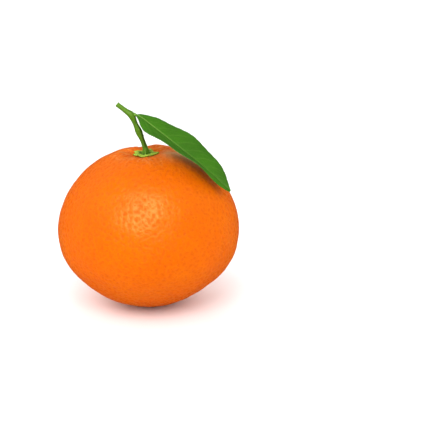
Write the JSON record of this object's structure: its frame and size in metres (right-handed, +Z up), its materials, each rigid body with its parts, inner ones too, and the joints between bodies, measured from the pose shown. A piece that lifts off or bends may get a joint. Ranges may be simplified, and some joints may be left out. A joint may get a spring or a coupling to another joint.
{
  "type": "mandarin",
  "caption": "Whole ripe mandarin with its calyx, cut stem and one glossy leaf; sits on a small flat spot as loose fresh fruit for bowls, crates and tables.",
  "frame": {"origin": "middle of the small flat spot that the fruit rests on", "axes": "+Z up along the fruit's axis to its stem end, +X towards the side that the leaf leans over, -Y the side that the leaf's tip turns to"},
  "size_m": [0.066, 0.066, 0.0739],
  "materials": {
    "peel": "waxy satin peel with fine oil glands",
    "calyx": "dry yellow-green, matt",
    "stem": "green stalk, satin",
    "leaf": "waxy leaf, glossy above and paler below"
  },
  "bodies": {
    "root": {"fruit": "peel", "calyx": "calyx", "stem": "stem", "leaf": "leaf"}
  },
  "joints": []
}
